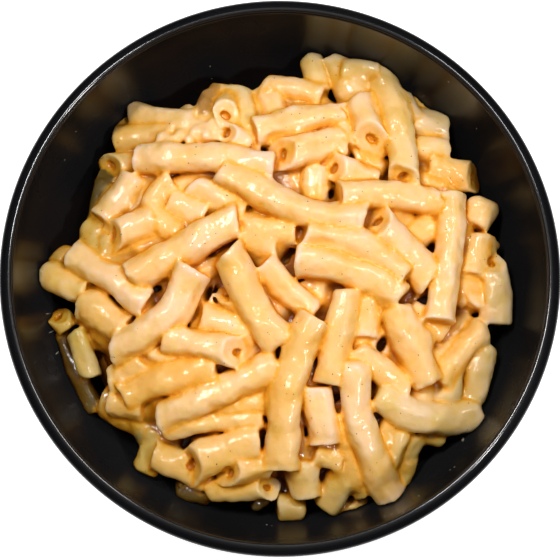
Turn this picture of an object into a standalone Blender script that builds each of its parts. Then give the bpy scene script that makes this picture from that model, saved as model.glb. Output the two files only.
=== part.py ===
"""Mac and cheese in a round black bowl, in metres, +Z up, standing on Z = 0 with the bowl's axis on Z.

Two solids: the turned bowl, and the heap of macaroni that it holds. The heap's top is the
relief of the single macaroni, whose places are given in plan and which follow a low mound.
"""

import math
import random

import bmesh
import bpy
import numpy as np
from mathutils import Vector
from mathutils.geometry import delaunay_2d_cdt

MM = 0.001

# Bowl: the lip is highest at its inner edge and falls away to the widest line.
BOWL_HEIGHT = 70.0 * MM
WIDEST_RADIUS = 82.5 * MM
WIDEST_HEIGHT = 65.0 * MM
LIP_RADIUS = 79.2 * MM
LIP_EDGE_DROP = 0.7 * MM
INNER_RADIUS = 78.6 * MM
WALL_THICKNESS = 3.2 * MM
FLOOR_THICKNESS = 4.0 * MM
BELLY_START_RADIUS = 30.0 * MM
FOOT_OUTER_RADIUS = 38.5 * MM
FOOT_WIDTH = 4.0 * MM
FOOT_HEIGHT = 4.5 * MM
FOOT_CHAMFER = 0.6 * MM
BOWL_SEGMENTS = 60
WALL_STEPS = 9
LIP_STEPS = 3

# Heap: a low mound that meets the wall all round, with its middle just under the rim.
HEAP_RADIUS = 73.0 * MM
HEAP_LEAST_RADIUS = 64.0 * MM
HEAP_EDGE_HEIGHT = 43.0 * MM
HEAP_TOP_HEIGHT = 58.5 * MM
HEAP_ROUNDNESS = 2.6
EDGE_SHARPNESS = 6
HEAP_GAP = 0.6 * MM
HEAP_EDGE_THICKNESS = 2.0 * MM
OUTLINE_SMOOTHINGS = 2
INSIDE_ONLY = 1
HEAP_LIMIT = 62.5 * MM
SAUCE_BELOW_MOUND = 5.0 * MM
SAUCE_BELOW_EDGE = 12.0 * MM
RELIEF_STEP = 1.0 * MM
HEAP_TRIANGLES_KEPT = 0.092

# Macaroni: cooked, thick-walled, cut straight.
MACARONI_RADIUS = 4.3 * MM
MACARONI_LENGTH = (20.0 * MM, 34.0 * MM)
MACARONI_BOW = 0.16
MACARONI_STEPS = 6
MACARONI_COUNT = 96
LAYER_DROP_MOST = 5.0 * MM
LAYER_DROP_LEAST = 2.0 * MM
GOLDEN_ANGLE = math.radians(137.508)
SEED = 11

# The macaroni that lie on top: start x and y, end x and y, bow to the left of that run, rise (mm).
TOP_MACARONI = (
    (-46, 54, -27, 48, 0, -1.0),
    (-50, 46, -33, 46, 0, -1.0),
    (-44, 38, -2, 35, 1.5, 2.5),
    (-44, 33, -54, 20, 0.5, -1.5),
    (-51, 15, -38, 19, 0, -0.5),
    (-33, 31, -31, 15, -6.5, -1.0),
    (-26, 29, -11, 20, 0, -1.0),
    (-17, 45, -9, 43, 0, -1.0),
    (-5, 62, 13, 58, 0, -1.0),
    (-7, 46, 19, 52, 0, 1.0),
    (1, 39, 19, 43, 0, -0.5),
    (18, 69, 25, 57, 0, -0.5),
    (25, 57, 28, 43, 0, 1.5),
    (30, 67, 37, 31, 3.0, 2.0),
    (41, 50, 51, 49, 0, -1.5),
    (41, 41, 51, 41, 0, -1.0),
    (46, 35, 60, 34, 0, -1.0),
    (-17, 34, 25, 18, -3.8, 3.3),
    (-10, 14, 6, 14, 0, 0.0),
    (-45, 1, -13, 17, 0.5, 2.5),
    (-16, 7, 0, -19, -1.0, 2.3),
    (-4, 5, 12, -10, 0, 0.3),
    (17, 26, 48, 25, 0.5, 2.5),
    (52, 27, 48, -12, 0.5, 2.8),
    (28, 17, 44, 0, 1.0, 1.8),
    (5, 6, 36, -6, 3.0, 2.6),
    (8, 14, 37, 0, 3.0, 3.1),
    (61, 15, 58, 2, 0, -1.0),
    (65, 6, 66, -12, 1.0, 0.0),
    (63, -11, 47, -30, 0, -0.5),
    (62, -19, 57, -36, 0, -0.5),
    (26, -5, 25, -17, 0, -0.2),
    (22, -21, 38, -32, 0, 0.5),
    (34, -8, 44, -31, 0, 1.9),
    (-72, 3, -58, -2, 0, -1.0),
    (-59, -6, -47, -14, 0, -0.3),
    (-63, 8, -40, -6, 0.5, 0.8),
    (-26, 3, -50, -20, 5.0, 2.7),
    (-34, -18, -13, -21, 0, 1.0),
    (-51, -30, -41, -24, 0, -0.5),
    (-51, -36, -41, -37, 0, -0.8),
    (-47, -33, -19, -27, 0.5, 0.9),
    (-36, -42, 0, -26, 0, 1.8),
    (-19, -38, -4, -36, 0, -1.0),
    (-38, -51, -22, -58, 0, -1.0),
    (-25, -54, -6, -47, 1.0, 1.0),
    (-15, -55, -3, -54, 0, 0.0),
    (-22, -61, -3, -62, 0, -2.0),
    (8, -53, 8, -64, 0, -0.5),
    (13, -67, 19, -59, 0, -1.5),
    (10, -32, 13, -48, 0, 1.0),
    (20, -3, 14, -31, 0, 2.0),
    (11, -12, 1, -55, -3.6, 3.0),
    (37, -44, 32, -53, 0, -1.5),
    (22, -25, 34, -66, -3.5, 2.5),
    (29, -33, 60, -38, -5.7, 2.1),
)

BOWL_BLACK = (0.012, 0.013, 0.015, 1.0)
CHEESE_SAUCE = (0.90, 0.55, 0.20, 1.0)


def clear_scene():
    """Leaves an empty scene."""
    for obj in list(bpy.data.objects):
        bpy.data.objects.remove(obj, do_unlink=True)


def principled(name, colour, roughness, metallic=0.0):
    """A plain material of one colour."""
    material = bpy.data.materials.new(name)
    material.use_nodes = True
    shader = material.node_tree.nodes["Principled BSDF"]
    shader.inputs["Base Color"].default_value = colour
    shader.inputs["Roughness"].default_value = roughness
    shader.inputs["Metallic"].default_value = metallic
    return material


def object_from(name, mesh_data, material):
    """Turns a bmesh into a smooth object with its material, at the scene's origin."""
    bmesh.ops.recalc_face_normals(mesh_data, faces=mesh_data.faces[:])
    mesh = bpy.data.meshes.new(name)
    mesh_data.to_mesh(mesh)
    mesh_data.free()
    mesh.shade_smooth()
    mesh.materials.append(material)
    obj = bpy.data.objects.new(name, mesh)
    bpy.context.scene.collection.objects.link(obj)
    return obj


def quarter_turns(steps):
    """Angles from 0 to a quarter turn, both ends included."""
    return [math.pi / 2 * i / steps for i in range(steps + 1)]


def outer_wall(angle):
    """A point of the outer wall's quarter ellipse: 0 under the belly, a quarter turn at the widest line."""
    start_height = FOOT_HEIGHT - FOOT_CHAMFER
    radius = BELLY_START_RADIUS + (WIDEST_RADIUS - BELLY_START_RADIUS) * math.sin(angle)
    height = WIDEST_HEIGHT - (WIDEST_HEIGHT - start_height) * math.cos(angle)
    return radius, height


def inner_height(radius):
    """Height of the bowl's inner face at this radius."""
    floor = FOOT_HEIGHT + FLOOR_THICKNESS
    start = BELLY_START_RADIUS - WALL_THICKNESS / 2
    top = BOWL_HEIGHT - LIP_EDGE_DROP
    share = np.clip((np.asarray(radius) - start) / (INNER_RADIUS - start), 0.0, 1.0)
    return top - (top - floor) * np.sqrt(1.0 - share**2)


def bowl_profile():
    """The bowl's section from the underside's middle, round the foot, wall and lip, to the floor's middle."""
    foot_inner = FOOT_OUTER_RADIUS - FOOT_WIDTH
    underside = FOOT_HEIGHT - FOOT_CHAMFER
    points = [(0.0, underside), (foot_inner - FOOT_CHAMFER, underside)]
    points += [(foot_inner, FOOT_CHAMFER), (foot_inner + FOOT_CHAMFER, 0.0)]
    points += [(FOOT_OUTER_RADIUS - FOOT_CHAMFER, 0.0), (FOOT_OUTER_RADIUS, FOOT_CHAMFER)]
    wall = [outer_wall(angle) for angle in quarter_turns(WALL_STEPS)]
    points += [point for point in wall if point[0] > FOOT_OUTER_RADIUS + FOOT_CHAMFER]
    for angle in quarter_turns(LIP_STEPS)[1:]:
        radius = LIP_RADIUS + (WIDEST_RADIUS - LIP_RADIUS) * math.cos(angle)
        height = WIDEST_HEIGHT + (BOWL_HEIGHT - WIDEST_HEIGHT) * math.sin(angle)
        points.append((radius, height))
    start = BELLY_START_RADIUS - WALL_THICKNESS / 2
    for angle in reversed(quarter_turns(WALL_STEPS)):
        radius = start + (INNER_RADIUS - start) * math.sin(angle)
        points.append((radius, float(inner_height(radius))))
    points.append((0.0, FOOT_HEIGHT + FLOOR_THICKNESS))
    return points


def make_bowl():
    """The bowl, turned about Z from its section."""
    mesh_data = bmesh.new()
    ring = [mesh_data.verts.new((radius, 0.0, height)) for radius, height in bowl_profile()]
    edges = [mesh_data.edges.new(pair) for pair in zip(ring, ring[1:])]
    bmesh.ops.spin(
        mesh_data,
        geom=ring + edges,
        cent=(0.0, 0.0, 0.0),
        axis=(0.0, 0.0, 1.0),
        angle=2 * math.pi,
        steps=BOWL_SEGMENTS,
        use_merge=True,
    )
    bmesh.ops.remove_doubles(mesh_data, verts=mesh_data.verts[:], dist=0.01 * MM)
    return object_from("bowl", mesh_data, principled("bowl", BOWL_BLACK, 0.28))


def mound_height(x, y):
    """The mound's even surface, which the top macaroni follow."""
    share = np.clip(np.hypot(x, y) / HEAP_RADIUS, 0.0, 1.0)
    return HEAP_TOP_HEIGHT - (HEAP_TOP_HEIGHT - HEAP_EDGE_HEIGHT) * share**HEAP_ROUNDNESS


def centreline(start, end, bow):
    """Points in plan along a macaroni that bows sideways as an arc does."""
    run = end - start
    aside = np.array([-run[1], run[0]]) / np.hypot(*run)
    steps = np.linspace(-1.0, 1.0, MACARONI_STEPS + 1)[:, None]
    return (start + end + steps * run) / 2 + (1 - steps**2) * aside * bow


def scattered_macaroni(draw):
    """The lower macaroni: middles on a sunflower spiral, each with its own heading, length and bow."""
    pieces = []
    for index in range(MACARONI_COUNT):
        reach = (HEAP_RADIUS - 2 * MACARONI_RADIUS) * math.sqrt((index + 0.5) / MACARONI_COUNT)
        turn = index * GOLDEN_ANGLE
        middle = np.array([reach * math.cos(turn), reach * math.sin(turn)])
        near_wall = reach / HEAP_RADIUS > 0.75
        heading = turn + math.pi / 2 + draw.gauss(0, 0.5) if near_wall else draw.uniform(0, math.pi)
        length = draw.uniform(*MACARONI_LENGTH)
        half = np.array([math.cos(heading), math.sin(heading)]) * length / 2
        bow = draw.uniform(-1, 1) * MACARONI_BOW * length
        rise = draw.uniform(-LAYER_DROP_MOST, -LAYER_DROP_LEAST)
        pieces.append((centreline(middle - half, middle + half, bow), rise))
    return pieces


def top_macaroni():
    """The macaroni on top, at their own places."""
    pieces = []
    for start_x, start_y, end_x, end_y, bow, rise in TOP_MACARONI:
        start, end = np.array([start_x, start_y]) * MM, np.array([end_x, end_y]) * MM
        pieces.append((centreline(start, end, bow * MM), rise * MM))
    return pieces


def raise_over(line, rise, x, y, height):
    """Lifts the surface at x, y to this macaroni's round back wherever it lies under one. The ends are cut straight."""
    last = len(line) - 2
    for index, (start, end) in enumerate(zip(line, line[1:])):
        run = end - start
        share = ((x - start[0]) * run[0] + (y - start[1]) * run[1]) / run.dot(run)
        near = np.clip(share, 0.0, 1.0)
        middle_x, middle_y = start[0] + near * run[0], start[1] + near * run[1]
        aside = np.hypot(x - middle_x, y - middle_y)
        under = aside < MACARONI_RADIUS
        if index == 0:
            under &= share > 0
        if index == last:
            under &= share < 1
        axis = mound_height(middle_x, middle_y) + rise - MACARONI_RADIUS
        back = axis + np.sqrt(np.maximum(MACARONI_RADIUS**2 - aside**2, 0.0))
        height[under] = np.maximum(height, back)[under]


def relief_height(x, y):
    """The heap's top: thick sauce low between the macaroni, lowest at the wall, and their backs over it."""
    share = np.clip(np.hypot(x, y) / HEAP_RADIUS, 0.0, 1.0)
    drop = SAUCE_BELOW_MOUND + (SAUCE_BELOW_EDGE - SAUCE_BELOW_MOUND) * share**EDGE_SHARPNESS
    height = mound_height(x, y) - drop
    for line, rise in scattered_macaroni(random.Random(SEED)) + top_macaroni():
        raise_over(line, rise, x, y, height)
    return np.minimum(height, HEAP_LIMIT)


def underside_height(x, y):
    """The heap's underside, which follows the bowl's inner face with a small gap."""
    return inner_height(np.hypot(x, y) + HEAP_GAP) + HEAP_GAP


def heap_outline():
    """Points in plan round the heap's uneven edge: on each bearing, the farthest that the relief stands on the wall."""
    count = round(2 * math.pi * HEAP_RADIUS / RELIEF_STEP)
    turns = np.arange(count) * 2 * math.pi / count
    reach = np.full(count, HEAP_LEAST_RADIUS)
    for radius in np.arange(HEAP_LEAST_RADIUS, HEAP_RADIUS, RELIEF_STEP / 2):
        x, y = radius * np.cos(turns), radius * np.sin(turns)
        stands = relief_height(x, y) > underside_height(x, y) + HEAP_EDGE_THICKNESS
        reach[stands] = radius
    for _ in range(OUTLINE_SMOOTHINGS):
        reach = (np.roll(reach, 1) + 2 * reach + np.roll(reach, -1)) / 4
    return reach, [Vector((r * math.cos(t), r * math.sin(t))) for r, t in zip(reach, turns)]


def lattice_inside(reach):
    """Points in plan on a triangular lattice that stays clear of the heap's edge."""
    row_step = RELIEF_STEP * math.sqrt(3) / 2
    rows = int(HEAP_RADIUS / row_step)
    columns = int(HEAP_RADIUS / RELIEF_STEP) + 1
    points = []
    for row in range(-rows, rows + 1):
        shift = RELIEF_STEP / 2 * (row % 2)
        for column in range(-columns, columns + 1):
            point = Vector((column * RELIEF_STEP + shift, row * row_step))
            bearing = math.atan2(point.y, point.x) % (2 * math.pi)
            edge = reach[int(bearing / (2 * math.pi) * len(reach)) % len(reach)]
            if point.length < edge - RELIEF_STEP:
                points.append(point)
    return points


def make_heap():
    """The heap: one triangulated plan, raised to the relief on top and sunk to the bowl's face below."""
    reach, outline = heap_outline()
    ring = [(index, (index + 1) % len(outline)) for index in range(len(outline))]
    points = outline + lattice_inside(reach)
    plan, _, triangles, *_ = delaunay_2d_cdt(points, ring, [], INSIDE_ONLY, 0.01 * MM)
    x = np.array([point.x for point in plan])
    y = np.array([point.y for point in plan])
    below = underside_height(x, y)
    above = np.maximum(relief_height(x, y), below + HEAP_EDGE_THICKNESS)
    mesh_data = bmesh.new()
    top = [mesh_data.verts.new(point) for point in zip(x, y, above)]
    bottom = [mesh_data.verts.new(point) for point in zip(x, y, below)]
    for a, b, c in triangles:
        mesh_data.faces.new((top[a], top[b], top[c]))
        mesh_data.faces.new((bottom[c], bottom[b], bottom[a]))
    for a, b in ring:
        mesh_data.faces.new((top[b], top[a], bottom[a], bottom[b]))
    heap = object_from("macaroni", mesh_data, principled("macaroni", CHEESE_SAUCE, 0.35))
    thin_out = heap.modifiers.new("fewer_faces", "DECIMATE")
    thin_out.ratio = HEAP_TRIANGLES_KEPT
    return heap


clear_scene()
make_bowl()
make_heap()
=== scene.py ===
"""Looks of the mac and cheese in its round black bowl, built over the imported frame.

The heap's macaroni are modelled as one distance field: every piece is a bent, thick-walled tube, and
neighbours run into each other through a thin web of sauce. The field's surface becomes one closed mesh,
which lies over a plain sauce core in a finely turned bowl. Lengths are in millimetres inside the field
and in metres on every object.
"""

import math

import bmesh
import bpy
import numpy as np
from mathutils import Matrix, Vector


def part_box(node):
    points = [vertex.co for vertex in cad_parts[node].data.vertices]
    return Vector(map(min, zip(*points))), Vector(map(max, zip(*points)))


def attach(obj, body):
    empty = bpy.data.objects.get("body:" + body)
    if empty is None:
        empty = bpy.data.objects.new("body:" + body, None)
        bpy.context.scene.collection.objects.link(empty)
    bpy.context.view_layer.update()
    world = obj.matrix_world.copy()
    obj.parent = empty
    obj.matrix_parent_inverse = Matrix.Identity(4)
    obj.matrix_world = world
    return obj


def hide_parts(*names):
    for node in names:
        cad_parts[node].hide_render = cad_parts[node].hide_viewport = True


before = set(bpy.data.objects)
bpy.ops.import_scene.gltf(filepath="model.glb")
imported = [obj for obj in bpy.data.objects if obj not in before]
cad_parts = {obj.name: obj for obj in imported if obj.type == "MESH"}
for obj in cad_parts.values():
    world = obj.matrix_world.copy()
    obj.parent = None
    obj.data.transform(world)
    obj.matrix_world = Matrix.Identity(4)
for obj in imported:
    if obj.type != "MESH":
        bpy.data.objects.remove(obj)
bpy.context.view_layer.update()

MM = 0.001
SEED = 23

# ---------------------------------------------------------------- sizes from the frame, in mm
BOWL_LOW, BOWL_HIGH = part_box("bowl")
BOWL_HEIGHT = BOWL_HIGH[2] / MM
WIDEST_RADIUS = (BOWL_HIGH[0] - BOWL_LOW[0]) / 2 / MM

# Bowl's section, as turned in the frame.
WIDEST_HEIGHT = 65.0
LIP_EDGE_DROP = 0.7
INNER_RADIUS = 78.6
WALL_THICKNESS = 3.2
FLOOR_THICKNESS = 4.0
BELLY_START_RADIUS = 30.0
FOOT_OUTER_RADIUS = 38.5
FOOT_WIDTH = 4.0
FOOT_HEIGHT = 4.5
FOOT_CHAMFER = 0.6
BOWL_SEGMENTS = 384
WALL_STEPS = 40
LIP_STEPS = 14
LIP_TILT = math.radians(30)
LIP_ROUNDING = 0.9
SHOULDER_ROUNDING = 1.8

# Heap's even mound, which every macaroni's rise is counted from.
HEAP_RADIUS = 73.0
HEAP_EDGE_HEIGHT = 43.0
HEAP_TOP_HEIGHT = 58.5
HEAP_ROUNDNESS = 2.6
HEAP_LIMIT = 62.5

# Field of the macaroni.
VOXEL = 0.5
FIELD_REACH = 75.0
FIELD_LOW = 29.0
TRIANGLES_WANTED = 185000
WEB = 1.4
CUT_ROUNDING = 0.6
CLOSED_ROUNDING = (0.8, 2.3)
CLOSED_SLANT, SHARP_SLANT = 0.18, 0.08
ROUND_END = 4.0
SAUCE_COAT = 0.2
LINE_STEPS = 8
BORE_SHARE = 0.175
BORE_DEPTH = 2.2
BORE_FLARE = 0.5
BORE_CLEAR = 1.2
# The bores' mouths get the same mark as the places where pieces meet, so the material paints shade in and around them.
BORE_MARK = 1.5
BORE_MARK_REACH = 0.9
OPEN_LEAN = 0.85
OPEN_DISH = 0.7
WALL_GAP = 0.25
LUMPS = ((1.5, 0.14), (2.9, 0.22), (7.9, 0.4))
WARPS = ((10.0, 0.9), (4.6, 0.4))
FILL_BELOW = 6.6
PLATE_BELOW = 12.0
EDGE_DROP = 16.0
EDGE_SHARPNESS = 5

# Lower macaroni that fill the gaps under the placed ones.
FILLER_COUNT = 150
FILLER_LENGTH = (16.0, 30.0)
FILLER_WIDTH = (7.0, 9.0)
FILLER_RISE = (-7.2, -3.2)
FILLER_REACH = 57.0
GOLDEN_ANGLE = math.radians(137.508)

# Placed macaroni: start x, y, end x, y, bow to the left of the run, width, rise of the back over the
# mound at the start and at the end, and the two ends: o is cut open, s is cut sharply, c is closed or
# hidden, r is round.
# A third letter is its tone: b is bare and a little olive, d is made near-black as painted shade where it lies
# by the wall, k is a dim brown, y is a deeper yellow.
TONES = {"d": -2.0, "b": -1.0, "y": 1.0, "k": 2.0}
PLACED = (
    # far left
    (-52, 51.5, -45, 50, 0, 6, -4, -4, "cc"),
    (-46.5, 54.5, -27, 48.5, 0, 8, -1, -1, "cc"),
    (-50.5, 46, -33, 46, 0, 8.5, -1.5, -1, "cc"),
    (-55.5, 33.5, -50, 31, 0, 6, -6, -6, "ccd"),
    (-52.5, 36.5, -43, 38.5, 0, 8, -1, -3, "oc"),
    (-53, 31, -58, 13, 0, 7, -5, -5, "ccd"),
    (-43.7, 38, -2, 34.5, 1.5, 8.6, 2.2, 2.6, "sc"),
    (-44, 33.5, -54.5, 19.5, 0.5, 8.5, -1, -0.5, "cs"),
    (-54, 10.8, -35, 11.5, 0, 8, -3, -3, "cc"),
    (-51.5, 14, -38.5, 19.3, 0, 9, 2.4, 0, "oc"),
    (-32.5, 31, -30.5, 14.5, -6.8, 7, -1, -0.5, "ccy"),
    (-33, 24, -22, 19.5, 0, 8, -2, -1.5, "cc"),
    (-26.5, 29.5, -11, 19.5, 0, 8, -1, -1, "cc"),
    # top left
    (-31, 49.5, -25.5, 54, 0, 7, -4, -4, "cc"),
    (-20, 60, -21.5, 49, 0, 8.5, -3, -2, "cck"),
    (-18.5, 61.5, -19, 56, 0, 6, -4, -4, "cck"),
    (-16.2, 51, -15, 59, 0, 7.5, 3.5, -5, "oc"),
    (-17, 45.5, -9, 42.5, 0, 7, 2.5, -2, "oc"),
    (-13, 61, -10, 45, 0, 8, -2, -1.5, "ccb"),
    # top middle
    (-3.5, 61, -2, 51, 0, 8.5, -2.5, -2.5, "cc"),
    (-5.5, 62.5, 13, 58, 0.5, 7.5, -1, -1, "cc"),
    (9.5, 71.5, 12.5, 59.5, 0, 7.5, 1, -1.5, "scb"),
    (-7.5, 46.3, 19, 52.5, 0, 8.5, 1.2, 0.5, "sc"),
    (4.5, 36, 5, 24, 0, 7, -5.5, -5.5, "ccy"),
    (11.5, 36, 10.8, 22, 0, 8.5, -2.5, -2.5, "cc"),
    (0.5, 39, 19, 43, 0, 9, 2.5, -0.5, "oc"),
    (16, 35, 29, 30.5, 0, 7.5, 1.5, -2, "oc"),
    # top right
    (16.5, 71.5, 25, 57, 0, 9.5, 3, 0, "scb"),
    (19, 66, 31, 66.5, 0, 8, 3, 4.5, "csb"),
    (18.5, 55, 20.3, 41.5, 0, 6, -1, -1, "cc"),
    (25, 57, 28.5, 43, 0, 9, 2, 4.4, "co"),
    (37, 58.5, 41.5, 51, 0, 5.5, 1, 0.5, "cc"),
    (40, 58, 48, 55, 0, 8, -3, -3, "ccb"),
    (41, 50.5, 51.5, 49, 0, 9, -0.5, 1, "csb"),
    (41, 41, 51.5, 41, 0, 8.5, -1, 0, "cs"),
    (46, 35.5, 59.8, 34, 0, 9, -1, 1, "coy"),
    (36, 32, 50.5, 29.5, 0, 5, -3, -3, "cc"),
    (29, 68, 37, 31, 3, 8.8, 3, 4.2, "cob"),
    # middle
    (-17.5, 34, 25.5, 18, -3.8, 9.3, 3.3, 3.3, "cc"),
    (32, 20, 41, 17, 0, 7, -3, -3, "ccy"),
    (38, 11, 46.5, 17.5, 0, 8.5, -1, -1, "ccy"),
    (-10, 14.5, 5.7, 14.5, 0, 8, 0, 0, "ccy"),
    (-12, 12, -1, 9.5, 0, 8, -1, -1, "cc"),
    (-27, 2, -18, 5, 0, 6, -3.5, -3.5, "ccy"),
    (-5, 4.5, 10.5, -11, 0, 7.6, 0.5, 0, "sc"),
    (7, 0, 9, -7, 0, 7, -4.5, -4.5, "ccy"),
    (12.5, 1, 12, -8, 0, 7, -3.5, -3.5, "ccy"),
    (-24, -11, -7, -16, 0, 8, -1, -1, "cc"),
    (-16, -4.5, -5, -15, 0, 6, 0, -2.5, "ocy"),
    (-45, 1, -13, 17, 0.5, 9, 2.2, 2.6, "cc"),
    (-16.5, 7.5, 0.5, -19.5, -1, 9.3, 3.8, 2.2, "scy"),
    (17.5, 25.5, 48.5, 24.5, 0.5, 8.8, 2.8, 2.2, "sc"),
    (52.5, 27.5, 48, -12, 0.5, 9, 2.8, 2.8, "cs"),
    (28.5, 17, 44.5, 0, 1, 9.5, 4, 1.8, "oc"),
    (5.5, 6, 36, -6, 3, 10, 2.6, 2.6, "cc"),
    (8, 14, 37, 0, 3, 9, 3.2, 3, "sc"),
    # right
    (63, 26.5, 59.5, 18, 0, 8.5, 0.8, -0.5, "rcy"),
    (64, 14.5, 61, 8, 0, 7, -2, -2, "ccy"),
    (61, 15.5, 58, 2, 0, 8, -1, -1, "ccy"),
    (60.8, -3, 58, -5, 0, 8, 0.5, -6, "cc"),
    (64.5, 6.5, 66, -12, 1, 7.6, 1.6, 0, "ocb"),
    (38.5, -8.5, 50, -14.5, 0, 6.5, -2, -2, "ccy"),
    (62, -12.5, 47, -30, 0, 9, -0.5, -0.5, "rcy"),
    (56, -19, 50, -36, 0, 6, -1.5, -1.5, "ccb"),
    (63.3, -18, 57.6, -36, 0, 8, -0.5, -0.5, "rcb"),
    (26, -5, 25, -17, 0, 8.5, 0, -0.5, "cs"),
    (22, -21.5, 38, -32.5, 0, 8, 0.5, 0.5, "ccy"),
    (34.5, -8, 44.5, -31, 0, 8.5, 2, 1.8, "cc"),
    # left
    (-70, 9, -65, 8, 0, 6, -4, -4, "cc"),
    (-72, 3.5, -58, -2.5, 0, 9, 0.8, -1, "scb"),
    (-68, -9, -64.5, -13, 0, 6, -2.5, -4, "ocb"),
    (-66.5, -14, -56, -38, -1.2, 5, -7, -6.5, "ccd"),
    (-62.5, -13.5, -57.5, -29, 0, 6.5, -2, -2, "ccb"),
    (-59.5, -6, -47.5, -14, 0, 10, -0.5, 0, "ssy"),
    (-63.5, 8.5, -39.5, -6.5, 0.5, 9, 0.5, 1, "cc"),
    (-40, -22, -31, -24, 0, 5, -2, -2, "cc"),
    (-51.5, -30, -41, -24, 0, 8, -0.5, -0.5, "cc"),
    (-26, 3, -50.5, -20, 5, 10, 2.8, 2.6, "cc"),
    (-34, -18, -13, -21.5, 0, 8.5, 0.5, 4, "co"),
    # bottom left
    (-45, -38, -40.5, -46, 0, 6, -5, -5, "ccd"),
    (-51.5, -36, -41, -37.5, 0, 8, -0.8, -0.8, "ccy"),
    (-47, -33.5, -19, -26.5, 0.5, 9.5, 0.8, 1, "ccy"),
    (-5, -33, -1, -32, 0, 6, -3, -3, "cc"),
    (-19, -38, -3.5, -36, 0, 7.5, -1, -1, "cc"),
    (-35, -45, -5, -41, 0.5, 6.5, -0.5, -0.8, "ccy"),
    (-36, -42, -0.5, -25.5, 0, 9.5, 1.8, 1.8, "cc"),
    (-32, -61.5, -21, -63, 0, 8, -5, -5, "ccd"),
    (-37, -44, -41, -56, 0, 7, -4, -4, "ccb"),
    (-38, -51, -22, -58.5, 0, 9, -1, -1, "scy"),
    (-8, -65, -5, -67, 0, 5, -5, -5, "ccd"),
    (-22, -61, -2.5, -62, 0, 7.5, -2, 0.8, "cob"),
    (-16.2, -57, -3, -54, 0, 8.5, 4.4, 0, "oc"),
    (-27, -55.8, -6, -47.3, 1, 9.3, 3.6, 1, "ocy"),
    # bottom middle
    (11, -51, 19, -53.5, 0, 6.5, -1.5, -1.5, "ccy"),
    (17, -55.5, 24, -60, 0, 6.5, -2.5, -2.5, "ccy"),
    (-1, -67, 8, -68, 0, 8, -4, -4, "cc"),
    (16, -69.5, 27, -64.5, 0, 4.5, -5, -5, "cc"),
    (7.8, -53, 7.8, -64, 0, 8.7, -0.5, -0.5, "ccb"),
    (13.2, -67.5, 19.5, -58.5, 0, 8.5, -1.5, -1.5, "ccb"),
    (17, -40, 25.5, -63.5, -0.5, 5.5, -2, -2, "ccy"),
    (10.5, -32, 13.5, -48.5, 0, 9, 1, 1, "cs"),
    (20.5, -3, 14, -31.5, 0, 8.5, 2, 2, "csy"),
    (10.6, -11.5, 0.8, -55.5, -3.6, 9.8, 4, 2.8, "ssy"),
    # bottom right
    (42, -46, 49.5, -47, 0, 4.5, -3, -3, "ccb"),
    (38, -54, 36, -60.5, 0, 6, -2.5, -2.5, "ccb"),
    (42, -46, 36, -56, 0, 6, -2.5, -2.5, "ccb"),
    (33.5, -42, 30.5, -49, 0, 5, -1.5, -1.5, "ccy"),
    (37.5, -43.5, 32, -53, 0, 6.5, -1.5, -1.5, "ccb"),
    (22, -25, 34.5, -66, -3.5, 8.7, 3, 2, "rs"),
    (28.5, -33.5, 60.5, -38, -5.7, 9.3, 2.2, 2.2, "rrb"),
)

# Dark hollows between the macaroni on top: x, y, radius. Lower macaroni and sauce leave them free.
HOLLOWS = (
    (-37.3, -3, 2.4), (-46.2, -9, 1.6), (-21, -4.5, 2), (-18, -4.5, 2), (-4, -19, 1.6), (30.5, -18, 2.6),
    (21, -24, 1.4), (28, -29, 1.8), (46.7, 20, 1.6), (45, 9, 2), (42.5, -6.3, 2.6), (6, 11, 1.6),
    (2.5, 8, 1.6), (6, -1, 2.2), (-10.5, 23, 1.5), (-20, 29, 1.8), (16, 26, 2.2), (22, 38, 1.6),
    (-3, 40.5, 2.4), (16.3, -34, 1.5), (-28, -47, 2), (-24, -46.5, 2), (-4.5, -48, 2.2), (7, -46, 1.4),
    (0.5, -59.5, 2.8), (-35, 11.5, 1.5), (-56, -25, 1.5),
)
HOLLOW_BELOW = 11.0

# Thick drops of sauce between the macaroni: x, y, radius, rise over the mound.
SAUCE_DROPS = (
    (-29, 47, 5, -1.5),
    (-24, 45.5, 4.5, -1.5),
    (-20, 47, 4, -1.5),
    (24, 64, 5, -0.5),
    (22, 60, 4.5, -0.3),
    (63.5, -9.5, 2.2, -1),
    (-56, -8, 4, -0.8),
    (-9, -12, 3.5, -1.5),
    (-5, 12, 4, -0.8),
    (-8, 15, 4, -0.8),
    (-33, 3, 4, -3),
    (42, -18, 4, 0.5),
    (38, -14, 4, 0.5),
    (-38, -30, 3.5, -1.5),
    (21, -57, 3.5, -2.5),
    (42.5, -33, 4.5, -3),
    (-36, 44.3, 1.7, 0.1),
    (-33.4, 43.2, 1.5, 0),
    (-30.3, 44.9, 1.9, 0.2),
    (-27.5, 43.6, 1.6, 0.3),
    (-25.6, 46, 1.8, 0.2),
    (-22.4, 44.6, 1.9, 0.3),
)


# Flecks of pepper: how many are tried, and their lengths.
SPECK_COUNT = 260
SPECK_LENGTH = (0.25, 0.55)

# Smears on the bowl's wall: x, y, length, width and heading in degrees.
SMEARS = (
    (55.5, -47.2, 2.6, 1.1, 70), (52, -56, 0.7, 0.6, 0), (50.8, -56.8, 0.5, 0.4, 0), (41.3, -64.6, 0.7, 0.5, 0),
    (33, -70, 0.5, 0.4, 0), (34.6, -69.4, 0.4, 0.4, 0), (36, -69.5, 0.5, 0.3, 0), (31, -70.6, 0.4, 0.3, 0),
    (-21.8, 69, 0.6, 0.5, 0), (-21.5, 66.3, 0.5, 0.4, 0), (50.8, 59.3, 0.6, 0.5, 0), (-65.8, 37.5, 0.7, 0.5, 0),
    (-71.3, -8.5, 3.0, 0.4, 95), (-70.2, -14, 3.5, 0.45, 105), (-68.4, -20.5, 2.6, 0.4, 110), (-62, 45.5, 0.5, 0.4, 0),
    (-4, -73, 0.5, 0.4, 0), (-2.5, -73.3, 0.4, 0.3, 0), (60, 47, 0.5, 0.4, 0), (62, -40, 0.6, 0.4, 0),
)


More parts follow.
